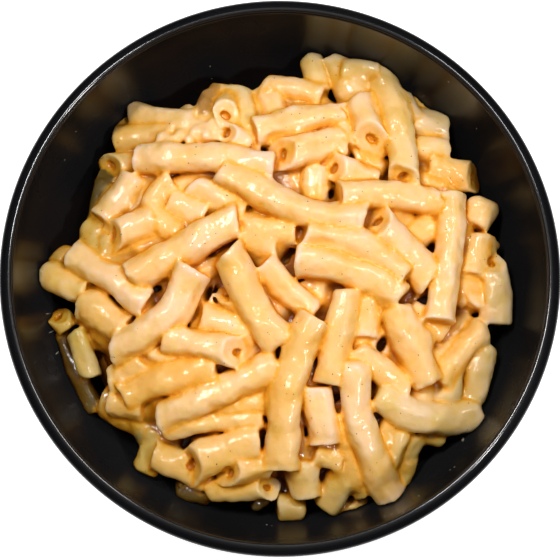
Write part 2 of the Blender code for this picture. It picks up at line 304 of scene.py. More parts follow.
# ---------------------------------------------------------------- bowl
def quarter_turns(steps):
    """Angles from 0 to a quarter turn, both ends included."""
    return [math.pi / 2 * i / steps for i in range(steps + 1)]


def inner_radius_at(height):
    """Radius of the bowl's inner face at this height, in mm."""
    floor = FOOT_HEIGHT + FLOOR_THICKNESS
    start = BELLY_START_RADIUS - WALL_THICKNESS / 2
    top = BOWL_HEIGHT - LIP_EDGE_DROP
    share = np.clip((top - np.asarray(height)) / (top - floor), 0.0, 1.0)
    return start + (INNER_RADIUS - start) * np.sqrt(1.0 - share**2)


def inner_height_at(radius):
    """Height of the bowl's inner face at this radius, in mm."""
    floor = FOOT_HEIGHT + FLOOR_THICKNESS
    start = BELLY_START_RADIUS - WALL_THICKNESS / 2
    top = BOWL_HEIGHT - LIP_EDGE_DROP
    share = np.clip((np.asarray(radius) - start) / (INNER_RADIUS - start), 0.0, 1.0)
    return top - (top - floor) * np.sqrt(1.0 - share**2)


def arc(radius, height, rounding, tilt_from, tilt_to, steps):
    """Points of a rounding about this centre. A tilt of 0 is straight up, and a quarter turn is outward."""
    tilts = [tilt_from + (tilt_to - tilt_from) * i / steps for i in range(steps + 1)]
    return [(radius + rounding * math.sin(t), height + rounding * math.cos(t)) for t in tilts]


def bowl_profile():
    """The bowl's section, from the underside's middle round foot, wall and lip to the floor's middle."""
    foot_inner = FOOT_OUTER_RADIUS - FOOT_WIDTH
    underside = FOOT_HEIGHT - FOOT_CHAMFER
    points = [(0.0, underside), (foot_inner - FOOT_CHAMFER, underside)]
    points += [(foot_inner, FOOT_CHAMFER), (foot_inner + FOOT_CHAMFER, 0.0)]
    points += [(FOOT_OUTER_RADIUS - FOOT_CHAMFER, 0.0), (FOOT_OUTER_RADIUS, FOOT_CHAMFER)]
    for angle in quarter_turns(WALL_STEPS):
        radius = BELLY_START_RADIUS + (WIDEST_RADIUS - BELLY_START_RADIUS) * math.sin(angle)
        height = WIDEST_HEIGHT - (WIDEST_HEIGHT - underside) * math.cos(angle)
        if radius > FOOT_OUTER_RADIUS + FOOT_CHAMFER:
            points.append((radius, height))
    edge_radius = INNER_RADIUS + LIP_ROUNDING
    slope_run = WIDEST_RADIUS - SHOULDER_ROUNDING * (1 - math.sin(LIP_TILT)) - edge_radius
    slope_run -= LIP_ROUNDING * math.sin(LIP_TILT)
    shoulder = BOWL_HEIGHT - LIP_ROUNDING * (1 - math.cos(LIP_TILT)) - slope_run * math.tan(LIP_TILT)
    shoulder -= SHOULDER_ROUNDING * math.cos(LIP_TILT)
    points += arc(WIDEST_RADIUS - SHOULDER_ROUNDING, shoulder, SHOULDER_ROUNDING, math.pi / 2, LIP_TILT, 6)
    points += arc(edge_radius, BOWL_HEIGHT - LIP_ROUNDING, LIP_ROUNDING, LIP_TILT, -math.pi / 2, LIP_STEPS)
    start = BELLY_START_RADIUS - WALL_THICKNESS / 2
    for angle in reversed(quarter_turns(WALL_STEPS)):
        radius = start + (INNER_RADIUS - start) * math.sin(angle)
        points.append((radius, float(inner_height_at(radius))))
    points.append((0.0, FOOT_HEIGHT + FLOOR_THICKNESS))
    return points


def make_bowl():
    """The finely turned bowl that stands for the frame's."""
    mesh_data = bmesh.new()
    ring = [mesh_data.verts.new((r * MM, 0.0, z * MM)) for r, z in bowl_profile()]
    edges = [mesh_data.edges.new(pair) for pair in zip(ring, ring[1:])]
    bmesh.ops.spin(
        mesh_data, geom=ring + edges, cent=(0, 0, 0), axis=(0, 0, 1),
        angle=2 * math.pi, steps=BOWL_SEGMENTS, use_merge=True,
    )
    bmesh.ops.remove_doubles(mesh_data, verts=mesh_data.verts[:], dist=0.01 * MM)
    bmesh.ops.recalc_face_normals(mesh_data, faces=mesh_data.faces[:])
    mesh = bpy.data.meshes.new("bowl_turned")
    mesh_data.to_mesh(mesh)
    mesh_data.free()
    return add_piece("bowl_turned", mesh, bowl_material())


def add_piece(name, mesh, material):
    """Links a smooth object of this mesh and material."""
    mesh.shade_smooth()
    mesh.materials.append(material)
    obj = bpy.data.objects.new(name, mesh)
    bpy.context.scene.collection.objects.link(obj)
    return obj


# ---------------------------------------------------------------- heap: centrelines
def mound_height(x, y):
    """The mound's even surface, in mm."""
    share = np.clip(np.hypot(x, y) / HEAP_RADIUS, 0.0, 1.0)
    return HEAP_TOP_HEIGHT - (HEAP_TOP_HEIGHT - HEAP_EDGE_HEIGHT) * share**HEAP_ROUNDNESS


def centreline(start, end, bow, width, rise_start, rise_end):
    """Points along a macaroni's axis: bowed sideways in plan, with its back at the rises over the mound."""
    start, end = np.array(start, float), np.array(end, float)
    run = end - start
    along = run / np.hypot(*run)
    aside = np.array([-along[1], along[0]])
    steps = np.linspace(0.0, 1.0, LINE_STEPS + 1)
    plan = start + steps[:, None] * run + (4 * steps * (1 - steps))[:, None] * aside * bow
    rise = rise_start + (rise_end - rise_start) * steps
    height = np.minimum(mound_height(plan[:, 0], plan[:, 1]) + rise, HEAP_LIMIT - 0.4) - width / 2
    return np.column_stack([plan, height])


def filler_macaroni(draw):
    """The lower macaroni: middles on a sunflower spiral, each with its own heading, length, bow and rise."""
    rows = []
    for index in range(FILLER_COUNT):
        reach = FILLER_REACH * math.sqrt((index + 0.5) / FILLER_COUNT)
        turn = index * GOLDEN_ANGLE
        near_wall = reach / FILLER_REACH > 0.85
        heading = turn + math.pi / 2 + draw.normal(0, 0.35) if near_wall else draw.uniform(0, math.pi)
        length = draw.uniform(*FILLER_LENGTH)
        width = draw.uniform(*FILLER_WIDTH)
        bow = draw.uniform(-1, 1) * 0.16 * length
        rise = draw.uniform(*FILLER_RISE)
        middle = np.array([reach * math.cos(turn), reach * math.sin(turn)])
        half = np.array([math.cos(heading), math.sin(heading)]) * length / 2
        line = centreline(middle - half, middle + half, bow, width, rise, rise)
        rows.append((line, width, "cc", -rise))
    return rows


def placed_macaroni():
    """The macaroni that show, at their own places."""
    rows = []
    for x0, y0, x1, y1, bow, width, rise_start, rise_end, ends in PLACED:
        line = centreline((x0, y0), (x1, y1), bow, width, rise_start, rise_end)
        rows.append((line, width, ends, -(rise_start + rise_end) / 2))
    return rows


# ---------------------------------------------------------------- heap: distance field
def lattice_noise(axes, wavelength, draw):
    """Smooth noise from -1 to 1 on the field's grid: a coarse random lattice, blended along each axis."""
    weights = []
    for axis in axes:
        place = (axis - axis[0]) / wavelength
        cell = place.astype(int)
        share = place - cell
        share = share * share * (3 - 2 * share)
        weight = np.zeros((len(axis), cell[-1] + 2), np.float32)
        weight[np.arange(len(axis)), cell] = 1 - share
        weight[np.arange(len(axis)), cell + 1] += share
        weights.append(weight)
    coarse = draw.uniform(-1, 1, [w.shape[1] for w in weights]).astype(np.float32)
    part = np.tensordot(weights[0], coarse, (1, 0))
    part = np.tensordot(part, weights[1], (1, 1)).transpose(0, 2, 1)
    return np.tensordot(part, weights[2], (2, 1))


def soft_max(a, b, blend):
    """The larger of two fields, rounded where they meet."""
    share = np.clip(0.5 + 0.5 * (a - b) / blend, 0.0, 1.0)
    return b + (a - b) * share + blend * share * (1 - share)


def tube_field(x, y, z, line, width, ends, draw):
    """Distances to one macaroni and to its open ends' bores, on a block of the grid."""
    nearest = None
    last = len(line) - 2
    steps = np.linalg.norm(np.diff(line, axis=0), axis=1)
    reached = np.concatenate([[0.0], np.cumsum(steps)])
    for index in range(last + 1):
        start, run = line[index], line[index + 1] - line[index]
        share = ((x - start[0]) * run[0] + (y - start[1]) * run[1] + (z - start[2]) * run[2]) / run.dot(run)
        held = np.clip(share, -np.inf if index == 0 else 0.0, np.inf if index == last else 1.0)
        dx = x - start[0] - held * run[0]
        dy = y - start[1] - held * run[1]
        dz = z - start[2] - held * run[2]
        squared = dx * dx + dy * dy + dz * dz
        along = reached[index] + held * steps[index]
        if nearest is None:
            nearest, run_along, off_x, off_y, off_z = squared, along, dx, dy, dz
            continue
        closer = squared < nearest
        nearest = np.where(closer, squared, nearest)
        run_along = np.where(closer, along, run_along)
        off_x = np.where(closer, dx, off_x)
        off_y = np.where(closer, dy, off_y)
        off_z = np.where(closer, dz, off_z)
    total = reached[-1]
    tangents = np.gradient(line, axis=0)
    tangents /= np.linalg.norm(tangents[:, :2], axis=1)[:, None] + 1e-6
    tangent_x = np.interp(run_along, reached, tangents[:, 0]).astype(np.float32)
    tangent_y = np.interp(run_along, reached, tangents[:, 1]).astype(np.float32)
    aside = off_y * tangent_x - off_x * tangent_y
    away = np.sqrt(nearest)
    above = np.sign(off_z) * np.sqrt(np.maximum(nearest - aside * aside, 0.0))
    around = np.arctan2(above, aside)
    flat, lean = draw.uniform(0.02, 0.09), draw.normal(0, 0.35)
    three, three_lean = draw.uniform(0.0, 0.03), draw.uniform(0, 2 * math.pi)
    wave, wave_start, flare = draw.uniform(0.02, 0.055), draw.uniform(0, 2 * math.pi), draw.uniform(0.0, 0.1)
    facet, facets = draw.uniform(0.004, 0.014), int(draw.integers(4, 7))
    dent, dent_at = max(draw.uniform(-0.08, 0.13), 0.0), draw.normal(math.pi / 2, 0.6)
    to_end = np.minimum(run_along, total - run_along)
    radius = width / 2 * (
        1 - flat * 0.4
        + flat * np.cos(2 * (around - lean))
        + three * np.cos(3 * around + three_lean + run_along / 14)
        + wave * np.sin(run_along / 3.1 + wave_start)
        + facet * np.cos(facets * around + three_lean + run_along / 9)
        + flare * np.exp(-np.maximum(to_end, 0.0) / 2.5)
        - dent * np.exp(-(((around - dent_at) / 0.38) ** 2)) * np.clip(to_end / 4.0, 0.0, 1.0)
    ) + SAUCE_COAT
    distance = away - radius
    for end, kind in enumerate(ends):
        depth = run_along if end == 0 else total - run_along
        cut = draw.normal(0, SHARP_SLANT if kind == "s" else CLOSED_SLANT) * aside - depth
        rounding = {"r": ROUND_END, "s": CUT_ROUNDING}.get(kind, draw.uniform(*CLOSED_ROUNDING))
        if kind == "o":
            dish = OPEN_DISH * np.clip(1 - (away / radius) ** 2, 0.0, 1.0)
            distance = soft_max(distance, (cut + OPEN_LEAN * above) / math.hypot(1, OPEN_LEAN) + dish, CUT_ROUNDING)
        else:
            distance = soft_max(distance, cut, rounding)
    bore = None
    for end, kind in enumerate(ends):
        if kind != "o":
            continue
        squeeze, turn = draw.uniform(0.5, 0.85), draw.uniform(0, math.pi)
        depth = run_along if end == 0 else total - run_along
        inward = (depth - OPEN_LEAN * above) / math.hypot(1, OPEN_LEAN)
        over = (above + OPEN_LEAN * depth) / math.hypot(1, OPEN_LEAN)
        wide = aside * math.cos(turn) + over * math.sin(turn)
        high = (over * math.cos(turn) - aside * math.sin(turn)) / squeeze
        mouth = width * BORE_SHARE + BORE_FLARE * np.exp(-np.maximum(inward, 0.0) / BORE_FLARE)
        one = np.maximum((np.hypot(wide, high) - mouth) * squeeze, np.maximum(inward - BORE_DEPTH, -inward - BORE_CLEAR))
        bore = one if bore is None else np.minimum(bore, one)
    return distance, bore


def block_of(axes, low, high):
    """The slices of the grid between two corners, with its coordinates there."""
    cut = [slice(*np.searchsorted(axis, (lo, hi))) for axis, lo, hi in zip(axes, low, high)]
    x, y, z = (axis[part] for axis, part in zip(axes, cut))
    return tuple(cut), x[:, None, None], y[None, :, None], z[None, None, :]


def warp_fields(axes, draw):
    """How far each place is pushed along X, Y and Z, so that no macaroni stays even."""
    return [sum(push * lattice_noise(axes, length, draw) for length, push in WARPS) for _ in axes]


def blend_in(field, marks, cut, distance, own_marks, web, seam_share=1.0):
    """Joins one piece to the field with a web of sauce, mixes its marks in where it's the nearer, and marks where the
    pieces meet, for the painted shade and sauce line that the material puts there.
    """
    share = np.clip(0.5 + 0.5 * (field[cut] - distance) / web, 0.0, 1.0)
    field[cut] += (distance - field[cut]) * share - web * share * (1 - share)
    for mark, own in zip(marks, own_marks):
        mark[cut] += (own - mark[cut]) * share
    # This last mark is where pieces meet: the material paints shade there, partly as a line of sauce.
    seam_shade = marks[-1]
    seam_shade[cut] = np.maximum(seam_shade[cut] * (1 - share), seam_share * 4 * share * (1 - share))


def heap_field(axes):
    """The whole heap's distance field, and each place's tint and how far its piece lies below the mound."""
    draw = np.random.default_rng(SEED)
    shape = [len(axis) for axis in axes]
    x, y, z = axes[0][:, None, None], axes[1][None, :, None], axes[2][None, None, :]
    far = np.hypot(x, y)
    share = np.clip(far / HEAP_RADIUS, 0.0, 1.2)
    mound = mound_height(x, y)
    fill = mound - FILL_BELOW - EDGE_DROP * share**EDGE_SHARPNESS
    field = np.broadcast_to(z - fill, shape).astype(np.float32).copy()
    marks = [np.full(shape, start, np.float32) for start in (0.0, 5.0, 0.0, 0.0)]
    warps = warp_fields(axes, draw)

    bores = []

    def lay(rows, web):
        for line, width, ends, sunk in rows:
            reach = width / 2 + 3.0
            cut, bx, by, bz = block_of(axes, line.min(axis=0) - reach, line.max(axis=0) + reach)
            bx, by, bz = (b + push[cut] for b, push in zip((bx, by, bz), warps))
            distance, bore = tube_field(bx, by, bz, line, width, ends[:2], draw)
            if bore is not None:
                bores.append((cut, bore))
            own = (draw.uniform(-1, 1), sunk, TONES.get(ends[2:], 0.0))
            blend_in(field, marks, cut, distance.astype(np.float32), own, web)

    lay(filler_macaroni(draw), WEB * 1.3)
    for hollow_x, hollow_y, radius in HOLLOWS:
        level = float(mound_height(hollow_x, hollow_y))
        low, high = level - HOLLOW_BELOW, level + 3
        cut, bx, by, bz = block_of(
            axes, (hollow_x - 2 * radius, hollow_y - 2 * radius, low), (hollow_x + 2 * radius, hollow_y + 2 * radius, high))
        turn, narrow = draw.uniform(0, math.pi), draw.uniform(0.4, 0.75)
        off_x, off_y = bx + 3.0 * warps[0][cut] - hollow_x, by + 3.0 * warps[1][cut] - hollow_y
        wide = off_x * math.cos(turn) + off_y * math.sin(turn)
        slim = (off_y * math.cos(turn) - off_x * math.sin(turn)) / narrow
        field[cut] = soft_max(field[cut], (radius * 1.25 - np.hypot(wide, slim)).astype(np.float32), 2.0)
    lay(placed_macaroni(), WEB)
    for drop_x, drop_y, radius, rise in SAUCE_DROPS:
        middle = np.array([drop_x, drop_y, float(mound_height(drop_x, drop_y)) + rise - radius])
        cut, bx, by, bz = block_of(axes, middle - radius - 4, middle + radius + 4)
        distance = np.sqrt((bx - drop_x) ** 2 + (by - drop_y) ** 2 + (bz - middle[2]) ** 2) - radius
        blend_in(field, marks, cut, distance.astype(np.float32), (-0.5, -rise, 0.0), min(3.0, 0.9 * radius), 0.0)
    for cut, bore in bores:
        field[cut] = soft_max(field[cut], -bore.astype(np.float32), 0.4)
        # Painted shade in the bores' mouths, through the mark where pieces meet.
        marks[-1][cut] = np.maximum(marks[-1][cut], BORE_MARK * np.clip(1.0 - bore / BORE_MARK_REACH, 0.0, 1.0))
    for wavelength, height in LUMPS:
        field += height * lattice_noise(axes, wavelength, draw)
    wall_slope = 0.92
    wall = (far - inner_radius_at(z) + WALL_GAP) * wall_slope
    field = np.maximum(field, wall.astype(np.float32))
    field = np.maximum(field, (mound - PLATE_BELOW - z).astype(np.float32))
    field = np.maximum(field, (z - HEAP_LIMIT + 0.1).astype(np.float32))
    return field, marks


def surface_of(field, axes):
    """Surface nets: one vertex in each cell that the surface crosses, one quad over each crossed grid edge."""
    inside = field < 0
    cells = tuple(n - 1 for n in field.shape)
    corners = [(i, j, k) for i in (0, 1) for j in (0, 1) for k in (0, 1)]
    count = np.zeros(cells, np.uint8)
    for i, j, k in corners:
        count += inside[i:i + cells[0], j:j + cells[1], k:k + cells[2]]
    crossed = np.argwhere((count > 0) & (count < 8))
    number = np.full(cells, -1, np.int32)
    number[tuple(crossed.T)] = np.arange(len(crossed))
    total = np.zeros((len(crossed), 3))
    hits = np.zeros(len(crossed))
    for a in corners:
        for axis in range(3):
            if a[axis]:
                continue
            b = tuple(1 if d == axis else a[d] for d in range(3))
            value_a = field[tuple((crossed + a).T)]
            value_b = field[tuple((crossed + b).T)]
            hit = (value_a < 0) != (value_b < 0)
            share = value_a[hit] / (value_a[hit] - value_b[hit])
            place = np.tile(np.array(a, float), (hit.sum(), 1))
            place[:, axis] += share
            total[hit] += place
            hits[hit] += 1
    step = axes[0][1] - axes[0][0]
    low = np.array([axis[0] for axis in axes])
    vertices = low + (crossed + total / hits[:, None]) * step
    quads = []
    for axis in range(3):
        one, two = (axis + 1) % 3, (axis + 2) % 3
        head = [slice(1, -1)] * 3
        head[axis] = slice(0, -1)
        tail = list(head)
        tail[axis] = slice(1, None)
        goes_out = inside[tuple(head)] & ~inside[tuple(tail)]
        goes_in = ~inside[tuple(head)] & inside[tuple(tail)]
        for mask, order in ((goes_out, (0, 1, 2, 3)), (goes_in, (3, 2, 1, 0))):
            place = np.argwhere(mask)
            place[:, one] += 1
            place[:, two] += 1
            around = []
            for shift_one, shift_two in ((-1, -1), (0, -1), (0, 0), (-1, 0)):
                cell = place.copy()
                cell[:, one] += shift_one
                cell[:, two] += shift_two
                around.append(number[tuple(cell.T)])
            quads.append(np.column_stack([around[i] for i in order]))
    return vertices, np.concatenate(quads)


def mesh_from(name, vertices, faces):
    """A mesh from arrays of points in mm and of faces."""
    mesh = bpy.data.meshes.new(name)
    mesh.vertices.add(len(vertices))
    mesh.vertices.foreach_set("co", (vertices * MM).astype(np.float32).ravel())
    sides = faces.shape[1]
    mesh.loops.add(faces.size)
    mesh.loops.foreach_set("vertex_index", faces.astype(np.int32).ravel())
    mesh.polygons.add(len(faces))
    mesh.polygons.foreach_set("loop_start", np.arange(0, faces.size, sides, dtype=np.int32))
    mesh.update(calc_edges=True)
    mesh.validate()
    return mesh


def thinned(mesh, triangles):
    """The mesh with its flattest faces merged until about this many triangles are left."""
    now = 2 * len(mesh.polygons)
    if now <= triangles:
        return mesh
    helper = bpy.data.objects.new("thinned", mesh)
    bpy.context.scene.collection.objects.link(helper)
    helper.modifiers.new("fewer", "DECIMATE").ratio = triangles / now
    done = bpy.data.meshes.new_from_object(helper.evaluated_get(bpy.context.evaluated_depsgraph_get()))
    bpy.data.objects.remove(helper)
    return done


def blurred(plane, size):
    """A plane of heights, averaged over a square of this many cells."""
    for axis in (0, 1):
        padded = np.pad(plane, [(size, size) if a == axis else (0, 0) for a in (0, 1)], mode="edge")
        summed = np.cumsum(padded, axis=axis)
        ahead = np.take(summed, range(2 * size, 2 * size + plane.shape[axis]), axis=axis)
        behind = np.take(summed, range(0, plane.shape[axis]), axis=axis)
        plane = (ahead - behind) / (2 * size)
    return plane


def sample(plane, axes, x, y):
    """Values of a plane of the grid at these places."""
    step = axes[0][1] - axes[0][0]
    column = np.clip((x - axes[0][0]) / step, 0, plane.shape[0] - 1.001)
    row = np.clip((y - axes[1][0]) / step, 0, plane.shape[1] - 1.001)
    i, j = column.astype(int), row.astype(int)
    u, v = column - i, row - j
    near = plane[i, j] * (1 - u) + plane[i + 1, j] * u
    return near * (1 - v) + (plane[i, j + 1] * (1 - u) + plane[i + 1, j + 1] * u) * v


def make_macaroni():
    """The macaroni that show, as one closed mesh with its depth and tint stored on its points."""
    count = int(2 * FIELD_REACH / VOXEL) + 1
    across = (-FIELD_REACH + VOXEL * np.arange(count)).astype(np.float32)
    levels = int((HEAP_LIMIT + 1.5 - FIELD_LOW) / VOXEL) + 1
    axes = (across, across, (FIELD_LOW + VOXEL * np.arange(levels)).astype(np.float32))
    field, marks = heap_field(axes)
    vertices, faces = surface_of(field, axes)
    top = axes[2][0] + VOXEL * (levels - 1 - np.argmax(field[:, :, ::-1] < 0, axis=2))
    top = np.where((field < 0).any(axis=2), top, FIELD_LOW + 10).astype(float)
    near, wide = blurred(top, int(2.2 / VOXEL)), blurred(top, int(6.0 / VOXEL))
    mesh = thinned(mesh_from("macaroni_pieces", vertices, faces), TRIANGLES_WANTED)
    points = np.empty(len(mesh.vertices) * 3, np.float32)
    mesh.vertices.foreach_get("co", points)
    points = points.reshape(-1, 3) / MM
    cell = [np.clip(((points[:, a] - axes[a][0]) / VOXEL).round().astype(int), 0, len(axes[a]) - 1) for a in range(3)]
    store(mesh, "crevice", sample(near, axes, points[:, 0], points[:, 1]) - points[:, 2])
    store(mesh, "depth", sample(wide, axes, points[:, 0], points[:, 1]) - points[:, 2])
    for name, mark in zip(("tint", "sunk", "tone", "seam_shade"), marks):
        store(mesh, name, mark[tuple(cell)])
    return add_piece("macaroni_pieces", mesh, macaroni_material())


def store(mesh, name, values):
    """Keeps one number for each point on the mesh."""
    layer = mesh.attributes.new(name, "FLOAT", "POINT")
    layer.data.foreach_set("value", np.asarray(values, np.float32))


def make_core():
    """The plain sauce that the macaroni lie on, from the bowl's inner face up to just under them."""
    turns, rings, below = 96, 28, 10.5
    reach = 62.0
    mesh_data = bmesh.new()
    top, bottom = [], []
    for ring in range(rings + 1):
        radius = reach * ring / rings
        steps = 1 if ring == 0 else turns
        top.append([])
        bottom.append([])
        for step in range(steps):
            angle = 2 * math.pi * step / turns
            x, y = radius * math.cos(angle), radius * math.sin(angle)
            floor = float(inner_height_at(radius + 0.6)) + 0.6
            swell = 0.8 * math.sin(x / 5.1 + 1.3) * math.sin(y / 4.3) + 0.5 * math.sin((x + y) / 3.1)
            height = max(float(mound_height(x, y)) - below - 4.0 * (ring / rings) ** 4 + swell, floor + 1.0)
            top[-1].append(mesh_data.verts.new((x * MM, y * MM, height * MM)))
            bottom[-1].append(mesh_data.verts.new((x * MM, y * MM, floor * MM)))
    for sheet, flip in ((top, False), (bottom, True)):
        for ring in range(rings):
            for step in range(turns):
                after = (step + 1) % turns
                inner, outer = sheet[ring], sheet[ring + 1]
                corners = [inner[0], outer[step], outer[after]] if ring == 0 else [
                    inner[step], outer[step], outer[after], inner[after]]
                mesh_data.faces.new(reversed(corners) if flip else corners)
    for step in range(turns):
        after = (step + 1) % turns
        mesh_data.faces.new((top[-1][after], top[-1][step], bottom[-1][step], bottom[-1][after]))
    bmesh.ops.recalc_face_normals(mesh_data, faces=mesh_data.faces[:])
    mesh = bpy.data.meshes.new("sauce_core")
    mesh_data.to_mesh(mesh)
    mesh_data.free()
    return add_piece("sauce_core", mesh, core_material())


# ---------------------------------------------------------------- specks and smears
def blob(mesh_data, place, normal, turn, size, roundness):
    """A small lump on a surface: its length, width and height in mm, turned about the surface's normal."""
    upright = Vector(normal).to_track_quat("Z", "Y").to_matrix().to_4x4()
    shape = Matrix.Diagonal((*[s * MM / 2 for s in size], 1.0))
    where = Matrix.Translation(place) @ upright @ Matrix.Rotation(turn, 4, "Z") @ shape
    bmesh.ops.create_icosphere(mesh_data, subdivisions=roundness, radius=1.0, matrix=where)


def make_specks(macaroni):
    """Flecks of pepper and spice on the macaroni."""
    draw = np.random.default_rng(SEED + 1)
    mesh_data = bmesh.new()
    bpy.context.view_layer.update()
    for _ in range(SPECK_COUNT):
        reach, turn = HEAP_RADIUS * math.sqrt(draw.uniform()), draw.uniform(0, 2 * math.pi)
        length, width = draw.uniform(*SPECK_LENGTH), draw.uniform(0.5, 0.9)
        start = Vector((reach * math.cos(turn), reach * math.sin(turn), BOWL_HEIGHT)) * MM
        hit, place, normal, _ = macaroni.ray_cast(start, Vector((0, 0, -1)))
        if hit and normal.z > 0.3:
            blob(mesh_data, place, normal, turn, (length, length * width, 0.16), 1)
    mesh = bpy.data.meshes.new("pepper_specks")
    mesh_data.to_mesh(mesh)
    mesh_data.free()
    return add_piece("pepper_specks", mesh, speck_material())


def make_smears():
    """Dots and streaks of thin sauce left on the bowl's wall."""
    mesh_data = bmesh.new()
    for x, y, length, width, turn in SMEARS:
        radius = math.hypot(x, y)
        rise = float(inner_height_at(radius + 0.05) - inner_height_at(radius - 0.05)) / 0.1
        normal = Vector((-rise * x / radius, -rise * y / radius, 1.0)).normalized()
        place = Vector((x, y, float(inner_height_at(radius)))) * MM
        blob(mesh_data, place, normal, math.radians(turn), (length, width, 0.3), 2)
    mesh = bpy.data.meshes.new("sauce_smears")
    mesh_data.to_mesh(mesh)
    mesh_data.free()
    return add_piece("sauce_smears", mesh, smear_material())


# ---------------------------------------------------------------- materials
def new_material(name):
    """A material with its shader, and a helper that adds and links nodes."""
    material = bpy.data.materials.new(name)
    material.use_nodes = True
    tree = material.node_tree
    shader = tree.nodes["Principled BSDF"]

    def node(kind, values=(), **settings):
        made = tree.nodes.new(kind)
        for key, value in settings.items():
            setattr(made, key, value)
        for socket, value in dict(values).items():
            if isinstance(value, bpy.types.NodeSocket):
                tree.links.new(value, made.inputs[socket])
            else:
                made.inputs[socket].default_value = value
        return made

    return material, tree, shader, node


def ramp(made, stops):
    """Sets a colour ramp's stops."""
    elements = made.color_ramp.elements
    while len(elements) < len(stops):
        elements.new(0.5)
    for element, (place, colour) in zip(elements, stops):
        element.position = place
        element.color = (*colour, 1.0)
    return made


